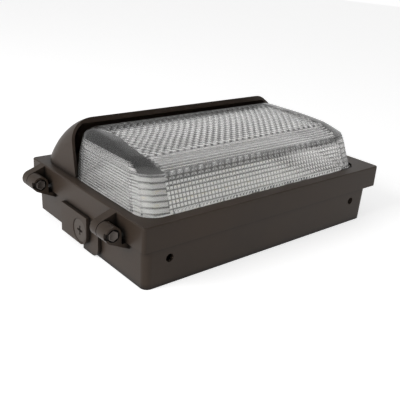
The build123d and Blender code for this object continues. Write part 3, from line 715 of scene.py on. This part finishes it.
def crown_outline(sizes, height, inset):
    """The outline of the glass, or of a skin inset in it, at a height in millimetres."""
    knee = min(max(height + inset, 0.0) / KNEE_HEIGHT, 1.0)
    crown = max(height + inset - KNEE_HEIGHT, 0.0) / (PEAK_HEIGHT - KNEE_HEIGHT)
    corner = BASE_CORNER - knee * (BASE_CORNER - KNEE_CORNER)
    return Outline(
        half=sizes.half_width / MM - side_inset(height, inset, SIDE_RADIUS, SIDE_LEAN),
        near=sizes.near_side / MM + crown_depth(height, inset),
        far=sizes.far_side / MM - side_inset(height, inset, max(FAR_RADIUS, inset), FAR_LEAN),
        corner=corner - inset - crown * (corner - CROWN_CORNER),
        level=sizes.base / MM + height,
    )


def side_point(outline, side, column):
    """A point of the right (side 1) or left (side -1) outline, from its near or far end.

    Each end has a short straight and the facets of its corner.
    """
    half, near, far, corner, level = outline
    straight = half - corner
    step = column if side > 0 else SIDE_COLUMNS - column
    if step in (0, SIDE_COLUMNS):
        x, y = straight - END_STRAIGHT, near if step == 0 else far
    elif step <= CORNER_FACETS + 1:
        turn = radians(90 * (step - 1) / CORNER_FACETS)
        x, y = straight + corner * sin(turn), near + corner - corner * cos(turn)
    elif step >= SIDE_COLUMNS - CORNER_FACETS - 1:
        turn = radians(90 * (SIDE_COLUMNS - 1 - step) / CORNER_FACETS)
        x, y = straight + corner * sin(turn), far - corner + corner * cos(turn)
    else:
        share = (step - CORNER_FACETS - 1) / SIDE_CELLS
        x, y = half, near + corner + share * (far - near - 2 * corner)
    return Vector((side * x, y, level)) * MM


def front_point(outline, share, far_side=False):
    """The point of the near (or far) side's outline at a share of its width from the left."""
    reach = outline.half - outline.corner - END_STRAIGHT
    x = -reach + 2 * reach * share
    return Vector((x, outline.far if far_side else outline.near, outline.level)) * MM


# ------------------------------------------------------------------ glass
RINGS_PER_ROW = 3
SHOULDER_RINGS = 9
KNEE_ROWS = 2
BAND_ROWS, CROWN_ROWS, CAP_ROWS = 14, 12, 7
CAP_LIT_ROWS = 3
WALL_INWARD = Vector((0.0, 0.93, -0.38))
BAND_INWARD = Vector((0.0, 0.27, -0.96))
SHALLOW_FLUTE = 0.55
MERGE_DISTANCE = 0.2 * MM
COLUMN_MARGIN, END_MARGIN = 0.4 * MM, 0.002 * MM

# Painted light on the glass at its points; low values give painted shade. Pairs are for even and
# odd columns, rows or both added.
# It stands in for the prisms' refraction and glints, and for the visor's shadow on the far zones.
PLAIN_PAINTED_LIGHT = 0.8
KNEE_PAINTED_LIGHT = (0.42, 0.02)
BAND_PAINTED_LIGHT = (0.52, 0.22)
CROWN_PAINTED_LIGHT = (1.0, 0.0)
WALL_LEFT_PAINTED_LIGHT, WALL_RIGHT_PAINTED_LIGHT = 0.12, 0.28
WALL_TIP_PAINTED_LIGHT, CROWN_TIP_PAINTED_LIGHT, CAP_TIP_PAINTED_LIGHT = 0.9, 0.42, 0.4
KNEE_SHADE = 0.42
FAR_PAINTED_LIGHT = 0.08
CAP_FADE, CAP_STREAK = 0.03, 0.1
SHOULDER_PAINTED_LIGHT, SHOULDER_STREAK = 0.02, 0.16
FACET_PAINTED_LIGHT, FACET_LINE = (0.33, 0.33, 0.38, 0.55), 0.25
FLUTE_PAINTED_LIGHT = 0.15
FAR_FADE_COLUMNS = 6


class GlassSkin:
    """Where the points of the outer skin's patches lie, and the painted light and shade that the
    glass gets there.

    A ring is a level of the whole outline, counted from the base up to the peak.
    """

    def __init__(self, sizes):
        self.columns, self.rows = sizes.columns, sizes.rows
        self.groove, self.flute, self.diamond = sizes.groove, sizes.flute, sizes.diamond
        self.wall_rings = self.rows * RINGS_PER_ROW
        self.shoulder_ring = self.wall_rings + SHOULDER_RINGS
        band, crown = BAND_HEIGHT - KNEE_HEIGHT, PEAK_DEPTH - BAND_DEPTH
        heights = [KNEE_HEIGHT * ring / self.wall_rings for ring in range(self.wall_rings + 1)]
        heights += [KNEE_HEIGHT + band * row / BAND_ROWS for row in range(1, BAND_ROWS + 1)]
        heights += [
            crown_height(BAND_DEPTH + crown * row / CROWN_ROWS) for row in range(1, CROWN_ROWS + 1)
        ]
        self.top = len(heights) - 1
        self.outlines = [crown_outline(sizes, height, 0.0) for height in heights]

    def front(self, ring, column, far_side=False):
        """A point of the near (or far) side, and whether it lies within its two ends."""
        point = front_point(self.outlines[ring], column / self.columns, far_side)
        return point, 0 < column < self.columns

    def wall_point(self, column, row):
        point, inner = self.front(row * RINGS_PER_ROW, column)
        if inner and 0 < row < self.rows:
            point += WALL_INWARD * self.groove
        return point

    def band_point(self, column, row):
        point, inner = self.front(self.wall_rings + row, column)
        if inner and row % 2:
            point += BAND_INWARD * self.groove
        return point

    def crown_point(self, column, row):
        point, inner = self.front(self.wall_rings + BAND_ROWS + row, column)
        if inner and row > 0 and (column + row) % 2:
            point.z -= self.diamond
        return point

    def cap_point(self, column, row):
        point, inner = self.front(self.top, column)
        point = point.lerp(self.front(self.top, column, True)[0], row / CAP_ROWS)
        if inner and row < CAP_ROWS and (column + CROWN_ROWS + row) % 2:
            point.z -= self.diamond
        return point

    def far_point(self, column, row):
        ring = self.top - row
        point, inner = self.front(ring, column, True)
        if inner and ring % 2 and ring < self.wall_rings:
            point.y -= self.flute
        return point

    def fluted(self, ring, step):
        """Whether a ring is the bottom of a flute there. The near corner's facets have fewer."""
        facet = step <= CORNER_FACETS
        if ring < self.wall_rings:
            return ring % 4 == 1 if facet else ring % 2 == 1
        return ring < self.shoulder_ring and not facet and (ring - self.wall_rings) % 4 == 3

    def side_point(self, side, column, ring):
        outline = self.outlines[ring]
        step = column if side > 0 else SIDE_COLUMNS - column
        if 0 < column < SIDE_COLUMNS and self.fluted(ring, step):
            depth = self.flute / MM * (SHALLOW_FLUTE if step % 2 else 1.0)
            half, near, far, corner, level = outline
            outline = Outline(half - depth, near + depth, far - depth, corner - depth, level)
        return side_point(outline, side, column)

    def painted_wall_light(self, column, row):
        # the top row gets painted dashes of shade along the knee; below it the painted light grows
        # from left to right
        if row >= self.rows - 1:
            return KNEE_PAINTED_LIGHT[column % 2]
        return WALL_LEFT_PAINTED_LIGHT + (WALL_RIGHT_PAINTED_LIGHT - WALL_LEFT_PAINTED_LIGHT) * column / self.columns

    def painted_band_light(self, column, row):
        if row == 0:
            return KNEE_PAINTED_LIGHT[column % 2]
        return self.painted_crown_light(column, 0) if row == BAND_ROWS else BAND_PAINTED_LIGHT[row % 2]

    def painted_crown_light(self, column, row):
        return CROWN_PAINTED_LIGHT[(column + row) % 2]

    def painted_cap_light(self, column, row):
        if row <= CAP_LIT_ROWS:
            return self.painted_crown_light(column + CROWN_ROWS, row)
        # beyond the lit rows the cap fades into painted shadow under the visor, with faint painted
        # streaks
        streak = CAP_STREAK if column % 2 and row < CAP_ROWS else 0.0
        return CAP_FADE * (CAP_ROWS - row) + streak

    def painted_far_light(self, column, row):
        # painted shadow under the visor
        return FAR_PAINTED_LIGHT

    def painted_side_light(self, side, column, ring):
        step = column if side > 0 else SIDE_COLUMNS - column
        facet = step <= CORNER_FACETS
        # shoulders: painted shade with streaks; the near corner's facets: painted highlights,
        # darker at flutes; the sides fade into painted shadow towards the far end
        if ring >= self.wall_rings and (ring >= self.shoulder_ring or facet):
            return SHOULDER_STREAK if (3 * column + ring) % 4 == 0 else SHOULDER_PAINTED_LIGHT
        if facet:
            return max(FACET_PAINTED_LIGHT[step] - FACET_LINE * self.fluted(ring, step), 0.0)
        fade = min(max((SIDE_COLUMNS - 1 - step) / FAR_FADE_COLUMNS, 0.0), 1.0)
        return (FLUTE_PAINTED_LIGHT if self.fluted(ring, step) else 1.0) * fade


def prism_wall(skin):
    """The near wall of small pyramids, with painted shade under the knee and finer at its two ends.
    """
    wall = grid_patch("glass_wall", skin.columns, skin.rows, skin.wall_point, skin.painted_wall_light)
    poke_cells(wall, skin.groove, WALL_TIP_PAINTED_LIGHT)
    knee_level = skin.outlines[(skin.rows - KNEE_ROWS) * RINGS_PER_ROW].level * MM
    # painted shade on the points above the knee's level
    for point, clear in zip(wall.data.vertices, wall.data.attributes["painted_light"].data):
        if point.co.z > knee_level:
            clear.value *= KNEE_SHADE
    ends = [-skin.wall_point(0, row).x for row in range(skin.rows + 1)]
    next_column = -skin.wall_point(1, skin.rows).x + COLUMN_MARGIN

    def on_end(co):
        reach = abs(co.x)
        return reach > next_column and any(abs(reach - end) < END_MARGIN for end in ends)

    select_edges(wall, on_end)
    bpy.ops.mesh.subdivide(number_cuts=RINGS_PER_ROW - 1)
    leave_edit()
    return wall


def outer_skin(skin):
    """The patches of the outer skin, from the near wall over the crown to the far side."""
    columns = skin.columns
    wall = prism_wall(skin)
    band = grid_patch("glass_band", columns, BAND_ROWS, skin.band_point, skin.painted_band_light)
    crown = grid_patch("glass_crown", columns, CROWN_ROWS, skin.crown_point, skin.painted_crown_light)
    poke_cells(crown, -skin.diamond / 2, CROWN_TIP_PAINTED_LIGHT)
    cap = grid_patch("glass_cap", columns, CAP_ROWS, skin.cap_point, skin.painted_cap_light)
    poke_cells(cap, -skin.diamond / 2, CAP_TIP_PAINTED_LIGHT)
    far = grid_patch("glass_back", columns, skin.top, skin.far_point, skin.painted_far_light)
    sides = [
        grid_patch(
            "glass_side", SIDE_COLUMNS, skin.top,
            lambda column, ring: skin.side_point(side, column, ring),
            lambda column, ring: skin.painted_side_light(side, column, ring),
        )
        for side in (1, -1)
    ]
    return [wall, band, crown, cap, far, *sides]


def inner_levels(wall):
    """Heights of the inner skin's rings: the steps of the crown and the middles between them."""
    steps = [GLASS_HEIGHT - SIDE_RADIUS, *(height for height, depth in CROWN_STEPS[1:-1])]
    middles = [(low + high) / 2 for low, high in zip(steps, steps[1:])]
    levels = sorted([*steps[1:], *middles, PEAK_HEIGHT])
    return [-FLANGE_LOW, 0.0, steps[0], *(level - wall for level in levels)]


def inner_skin(sizes, base):
    """The skirt, the flange and the plain inner skin, with the outer skin's columns."""
    flange = Outline(
        base.half + FLANGE, base.near - FLANGE, base.far + FLANGE, FLANGE_CORNER,
        base.level - FLANGE_TOP,
    )
    wall = sizes.wall / MM
    rings = [
        base, base._replace(level=base.level - FLANGE_TOP), flange,
        flange._replace(level=base.level - FLANGE_LOW),
        *(crown_outline(sizes, height, wall) for height in inner_levels(wall)),
    ]
    columns, last = sizes.columns, len(rings) - 1

    def ceiling_point(column, row):
        near = front_point(rings[last], column / columns)
        return near.lerp(front_point(rings[last], column / columns, True), row / 2)

    patches = [
        grid_patch(
            "glass_skirt", columns, last,
            lambda column, row: front_point(rings[row], column / columns),
        ),
        grid_patch(
            "glass_skirt", columns, last,
            lambda column, row: front_point(rings[row], 1 - column / columns, True),
        ),
    ]
    for side in (1, -1):
        patches.append(grid_patch(
            "glass_skirt", SIDE_COLUMNS, last,
            lambda column, row: side_point(rings[row], side, column),
        ))
    patches.append(grid_patch("glass_ceiling", columns, 2, ceiling_point))
    for patch in patches:
        turn_inside_out(patch)
    return patches


def close_end(piece, side):
    """Closes the open end of the ceiling on the right (side 1) or left (side -1)."""
    edit(piece, "EDGE")
    bpy.ops.mesh.select_non_manifold()
    leave_edit()
    points = piece.data.vertices
    for edge in piece.data.edges:
        edge.select = edge.select and points[edge.vertices[0]].co.x * side > 0
    bpy.ops.object.mode_set(mode="EDIT")
    bpy.ops.mesh.edge_face_add()
    leave_edit()


class WALLPACK_OT_glass(bpy.types.Operator):
    """Presses the glass: prism wall, ridged band, diamond crown, fluted sides and flange"""

    bl_idname = "wallpack.glass"
    bl_label = "Prismatic glass"

    def execute(self, context):
        sizes = context.scene.wall_pack_glass
        skin = GlassSkin(sizes)
        glass = join("prismatic_glass", *outer_skin(skin), *inner_skin(sizes, skin.outlines[0]))
        merge(glass, MERGE_DISTANCE)
        close_end(glass, 1)
        close_end(glass, -1)
        shade(glass, 12.0)
        carry(glass, "door", "glass", MATERIALS["glass"], "glass_refractor")
        return {"FINISHED"}


# ------------------------------------------------------------------ hinge hardware
BOLT_LENGTH = 36.0 * MM
BOLT_RADIUS = 3.0 * MM
BOLT_SIDES = 16
BOLT_IN_HEAD = 0.5 * MM
THREAD_DEPTH = 0.54
HEAD_FLATS = 10.0 * MM
HEAD_HEIGHT = 4.0 * MM
NUT_HEIGHT = 5.0 * MM


def threaded_rod(name, centre, start, end, pitch):
    """A rod along Y with a helical thread, its two ends closed."""
    rows = 2 * round((end - start) / pitch)
    on_end = 0.01 * MM

    def place(column, row):
        turn = 2 * pi * column / BOLT_SIDES
        along = (row / 2 + column / BOLT_SIDES) % 1.0
        fall = abs(2 * along - 1) if 0 < row < rows else 1.0
        radius = BOLT_RADIUS - THREAD_DEPTH * pitch * fall
        y = start + (end - start) * row / rows
        return centre.x + radius * cos(turn), y, centre.z + radius * sin(turn)

    rod = grid_patch(name, BOLT_SIDES, rows, place)
    merge(rod, on_end)
    for end_y in (start, end):
        select_edges(rod, lambda co: abs(co.y - end_y) < on_end)
        bpy.ops.mesh.edge_face_add()
        leave_edit()
    edit(rod, action="SELECT")
    bpy.ops.mesh.normals_make_consistent(inside=False)
    leave_edit()
    return rod


def hexagon(name, centre, start, height, chamfer, outward):
    """A hexagon along Y whose outer face is chamfered and a little dished."""
    flank = height - chamfer / 2
    deselect()
    bpy.ops.mesh.primitive_cylinder_add(
        vertices=6, radius=HEAD_FLATS / sqrt(3), depth=flank, rotation=(radians(90), 0, 0),
        location=(centre.x, start + outward * flank / 2, centre.z),
    )
    bpy.ops.object.transform_apply(location=True, rotation=True, scale=True)
    head = named(bpy.context.object, name)
    select_faces(head, lambda middle, normal: normal.y * outward > FACING)
    bpy.ops.mesh.inset(thickness=chamfer)
    bpy.ops.transform.translate(value=(0, outward * chamfer / 2, 0))
    bpy.ops.mesh.inset(thickness=2 * chamfer)
    bpy.ops.transform.translate(value=(0, -outward * chamfer / 2, 0))
    leave_edit()
    return head


class WALLPACK_OT_hinge_hardware(bpy.types.Operator):
    """Makes the hexagon bolt and nut of one hinge, and copies them to the other"""

    bl_idname = "wallpack.hinge_hardware"
    bl_label = "Hinge bolts and nuts"

    def execute(self, context):
        sizes = context.scene.wall_pack_fasteners
        low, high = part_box("hinge_bolts")
        centre = (low + high) / 2
        hinges = [(0.0, 0.0, 0.0), (0.0, high.y - low.y - BOLT_LENGTH, 0.0)]
        seat = low.y + HEAD_HEIGHT
        head = hexagon("bolt_head", centre, seat, HEAD_HEIGHT, sizes.chamfer, -1)
        rod = threaded_rod(
            "bolt_rod", centre, seat - BOLT_IN_HEAD, low.y + BOLT_LENGTH, sizes.thread_pitch
        )
        bolts = copies(join("hinge_bolt", head, rod), "hex_bolts", hinges)
        nut_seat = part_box("hinge_nuts")[0].y
        nut = hexagon("hinge_nut", centre, nut_seat, NUT_HEIGHT, sizes.chamfer, 1)
        nuts = copies(nut, "hex_nuts", hinges)
        for piece, node in ((bolts, "hinge_bolts"), (nuts, "hinge_nuts")):
            shade(piece, 25.0)
            carry(piece, "housing", "dark_bolt", MATERIALS["bolt"], node)
        return {"FINISHED"}


# ------------------------------------------------------------------ diodes
DIODE_COLUMNS, DIODE_ROWS = 12, 3
DIODE_WIDTH, DIODE_HEIGHT = 5.0 * MM, 0.4 * MM
DIODE_RIM, DIODE_RECESS, DOME_MARGIN = 0.45 * MM, 0.12 * MM, 0.2 * MM
DOME_STEPS = ((0.26 * MM, 0.92), (0.2 * MM, 0.8), (0.11 * MM, 0.6))


class WALLPACK_OT_lamps(bpy.types.Operator):
    """Makes one diode with its phosphor dome, and copies it over the board"""

    bl_idname = "wallpack.lamps"
    bl_label = "Diodes"

    def execute(self, context):
        low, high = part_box("led_array")
        deselect()
        bpy.ops.mesh.primitive_cube_add(size=1.0)
        diode = context.object
        diode.data.transform(Matrix.Diagonal((DIODE_WIDTH, DIODE_WIDTH, DIODE_HEIGHT, 1.0)))
        diode.data.transform(Matrix.Translation((0.0, 0.0, DIODE_HEIGHT / 2)))
        select_faces(diode, lambda middle, normal: normal.z > FACING)
        bpy.ops.mesh.inset(thickness=DIODE_RIM)
        bpy.ops.mesh.extrude_region_move(TRANSFORM_OT_translate={"value": (0, 0, -DIODE_RECESS)})
        bpy.ops.mesh.inset(thickness=DOME_MARGIN)
        for rise, size in DOME_STEPS:
            bpy.ops.mesh.extrude_region_move(TRANSFORM_OT_translate={"value": (0, 0, rise)})
            bpy.ops.transform.resize(value=(size, size, 1.0))
        leave_edit()
        pitch_x = (high.x - low.x - DIODE_WIDTH) / (DIODE_COLUMNS - 1)
        pitch_y = (high.y - low.y - DIODE_WIDTH) / (DIODE_ROWS - 1)
        middle = (low + high) / 2
        places = [
            (
                middle.x + (column - (DIODE_COLUMNS - 1) / 2) * pitch_x,
                middle.y + (row - (DIODE_ROWS - 1) / 2) * pitch_y,
                low.z,
            )
            for column in range(DIODE_COLUMNS) for row in range(DIODE_ROWS)
        ]
        diodes = copies(diode, "diodes", places)
        shade(diodes, 50.0)
        carry(diodes, "housing", "led", MATERIALS["led"], "led_array")
        return {"FINISHED"}


# ------------------------------------------------------------------ stage
FLOOR_SIZE = 8.0
FLOOR_GLOW = 0.62
LAMP_TARGET = Vector((0.0, 0.0, 0.05))
KEY_SIZE, KEY_PLACE = (0.9, 0.7), Vector((-1.6, 0.1, 1.1))
FILL_SIZE, FILL_PLACE = (0.4, 0.7), Vector((-1.05, -1.15, 0.15))
WORLD_LIGHT = 0.33
GLOSS_LOW, GLOSS_HIGH, GLOSS_OVERHEAD = 0.2, 0.55, 0.2
CAMERA_PLACE = Vector((-0.4629, -0.5276, 0.3075))
CAMERA_RIGHT = Vector((0.77366, -0.63050, 0.06262))
CAMERA_UP = Vector((0.19562, 0.33171, 0.92288))


def floor_material():
    """White where the camera, a gloss or the glass sees it, and plain where light falls on it."""
    material = bpy.data.materials.new("floor_white")
    material.use_nodes = True
    tree = material.node_tree
    shader = tree.nodes["Principled BSDF"]
    shader.inputs["Base Color"].default_value = (0.8, 0.8, 0.8, 1.0)
    shader.inputs["Roughness"].default_value = 0.9
    rays = tree.nodes.new("ShaderNodeLightPath").outputs
    seen = calculate(tree, "MAXIMUM", rays["Is Camera Ray"], rays["Is Glossy Ray"])
    seen = calculate(tree, "MAXIMUM", seen, rays["Is Transmission Ray"])
    glow = calculate(tree, "MULTIPLY", seen, FLOOR_GLOW)
    tree.links.new(glow, shader.inputs["Emission Strength"])
    shader.inputs["Emission Color"].default_value = (1.0, 1.0, 1.0, 1.0)
    return material


def studio_world():
    """White to the camera and through glass, soft as light, darker overhead in reflections."""
    world = bpy.data.worlds.new("studio")
    world.use_nodes = True
    tree = world.node_tree
    rays = tree.nodes.new("ShaderNodeLightPath").outputs
    seen = calculate(tree, "MAXIMUM", rays["Is Camera Ray"], rays["Is Transmission Ray"])
    split = tree.nodes.new("ShaderNodeSeparateXYZ")
    tree.links.new(tree.nodes.new("ShaderNodeTexCoord").outputs["Generated"], split.inputs[0])
    walls = spread(tree, split.outputs["Z"], GLOSS_LOW, GLOSS_HIGH, 1.0, GLOSS_OVERHEAD)
    glossy = calculate(tree, "MULTIPLY", rays["Is Glossy Ray"], walls)
    seen = calculate(tree, "MAXIMUM", seen, glossy)
    background = tree.nodes["Background"]
    strength = spread(tree, seen, 0.0, 1.0, WORLD_LIGHT, 1.0)
    tree.links.new(strength, background.inputs["Strength"])
    background.inputs["Color"].default_value = (1.0, 1.0, 1.0, 1.0)
    return world


def add_lamp(name, power, size, place):
    """A rectangular soft lamp at a place, turned to the part."""
    lamp = bpy.data.lights.new(name, "AREA")
    lamp.energy = power
    lamp.shape = "RECTANGLE"
    lamp.size, lamp.size_y = size
    holder = bpy.data.objects.new(name, lamp)
    bpy.context.scene.collection.objects.link(holder)
    holder.location = place
    holder.rotation_mode = "QUATERNION"
    holder.rotation_quaternion = (LAMP_TARGET - place).to_track_quat("-Z", "Y")


def add_camera(lens):
    """The camera at the photograph's angle."""
    camera = bpy.data.cameras.new("camera")
    camera.sensor_width = 36.0
    camera.lens = lens
    holder = bpy.data.objects.new("camera", camera)
    bpy.context.scene.collection.objects.link(holder)
    right, up = CAMERA_RIGHT.normalized(), CAMERA_UP.normalized()
    turn = Matrix((right, up, right.cross(up))).transposed().to_4x4()
    holder.matrix_world = Matrix.Translation(CAMERA_PLACE) @ turn
    bpy.context.scene.camera = holder


class WALLPACK_OT_stage(bpy.types.Operator):
    """Lays the floor, hangs the lamps and sets the camera at the photograph's angle"""

    bl_idname = "wallpack.stage"
    bl_label = "Floor, lamps and camera"

    def execute(self, context):
        settings = context.scene.wall_pack_stage
        deselect()
        bpy.ops.mesh.primitive_plane_add(size=FLOOR_SIZE, location=(0, 0, 0))
        floor = named(context.object, "floor")
        floor.data.materials.append(floor_material())
        add_lamp("key_lamp", settings.key_power, KEY_SIZE, KEY_PLACE)
        add_lamp("fill_lamp", settings.fill_power, FILL_SIZE, FILL_PLACE)
        context.scene.world = studio_world()
        add_camera(settings.lens)
        context.scene.view_settings.view_transform = "Standard"
        return {"FINISHED"}


# ------------------------------------------------------------------ panel and registration
STEPS = ("materials", "finishes", "casting", "glass", "hinge_hardware", "lamps", "stage")
SETTINGS = {
    "wall_pack_glass": WallPackGlass,
    "wall_pack_fasteners": WallPackFasteners,
    "wall_pack_colours": WallPackColours,
    "wall_pack_stage": WallPackStage,
}


class WALLPACK_PT_panel(bpy.types.Panel):
    """The steps in their order, and the settings that they read"""

    bl_idname = "WALLPACK_PT_panel"
    bl_label = "Wall Pack"
    bl_space_type = "VIEW_3D"
    bl_region_type = "UI"
    bl_category = "Wall Pack"

    def draw(self, context):
        for step in STEPS:
            self.layout.operator(f"wallpack.{step}")
        for group in SETTINGS:
            box = self.layout.box()
            settings = getattr(context.scene, group)
            for name in settings.bl_rna.properties.keys():
                if name not in ("rna_type", "name"):
                    box.prop(settings, name)


CLASSES = (
    *SETTINGS.values(), WALLPACK_OT_materials, WALLPACK_OT_finishes, WALLPACK_OT_casting,
    WALLPACK_OT_glass, WALLPACK_OT_hinge_hardware, WALLPACK_OT_lamps, WALLPACK_OT_stage,
    WALLPACK_PT_panel,
)


def register():
    for item in CLASSES:
        bpy.utils.register_class(item)
    for name, group in SETTINGS.items():
        setattr(bpy.types.Scene, name, PointerProperty(type=group))


def unregister():
    for name in SETTINGS:
        delattr(bpy.types.Scene, name)
    for item in reversed(CLASSES):
        bpy.utils.unregister_class(item)


def main():
    register()
    for step in STEPS:
        getattr(bpy.ops.wallpack, step)()


if __name__ == "__main__":
    main()
